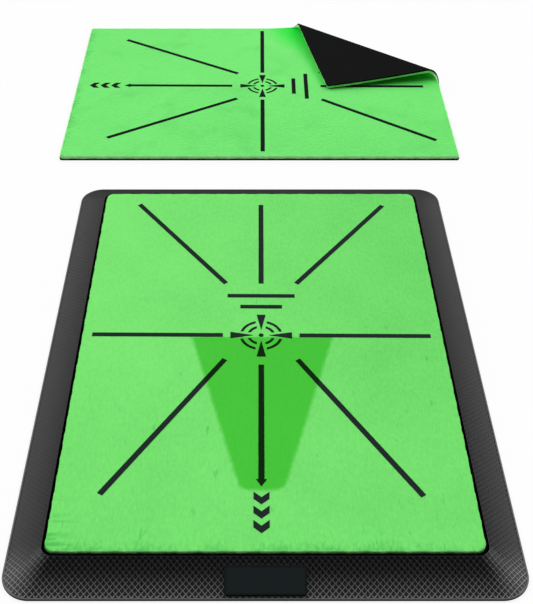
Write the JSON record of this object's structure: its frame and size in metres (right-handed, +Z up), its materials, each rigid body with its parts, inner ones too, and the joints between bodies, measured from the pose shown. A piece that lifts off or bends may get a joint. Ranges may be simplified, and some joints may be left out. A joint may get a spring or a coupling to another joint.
{
  "type": "golf hitting mat",
  "caption": "Rectangular golf hitting mat of printed velvet turf in a bevelled non-slip tray, with a spare mat whose corner is folded over.",
  "frame": {"origin": "centre of the tray's underside, on the surface it stands on", "axes": "+Z up; +Y along the tray's length, from the arrow's point to the spare mat; +X to the right seen from the badge"},
  "size_m": [0.4506, 0.8907, 0.018],
  "materials": {
    "tray_rubber": "moulded, fine raised diamond net",
    "badge": "satin, bare",
    "grip_rubber": "matt, dimpled",
    "hook_tape": "woven tape with hooks",
    "loop_tape": "looped fleece tape",
    "backing_rubber": "matt natural rubber sheet",
    "velvet_pile": "short dense velvet pile with brushed nap",
    "print_film": "matt print on the pile"
  },
  "bodies": {
    "base": {"tray": "tray_rubber", "badge_plate": "badge", "grip_sheet": "grip_rubber", "hook_strips": "hook_tape"},
    "mat": {"mat_rubber": "backing_rubber", "mat_turf": "velvet_pile", "mat_loop_strips": "loop_tape", "mat_aim_lines": "print_film", "mat_cross_bars": "print_film", "mat_target_rings": "print_film", "mat_pointers": "print_film", "mat_centre_dot": "print_film", "mat_swing_arrow": "print_film", "mat_chevrons": "print_film"},
    "spare": {"spare_rubber": "backing_rubber", "spare_turf": "velvet_pile", "spare_loop_strips": "loop_tape", "spare_aim_lines": "print_film", "spare_cross_bars": "print_film", "spare_target_rings": "print_film", "spare_pointers": "print_film", "spare_centre_dot": "print_film", "spare_swing_arrow": "print_film", "spare_chevrons": "print_film"}
  },
  "joints": [
    {"name": "mat_lift", "type": "slide", "parent": "base", "child": "mat", "axis": [0, 0, 1], "range_m": [0, 0.08]},
    {"name": "spare_lift", "type": "slide", "parent": "base", "child": "spare", "axis": [0, 0, 1], "range_m": [0, 0.08]}
  ]
}
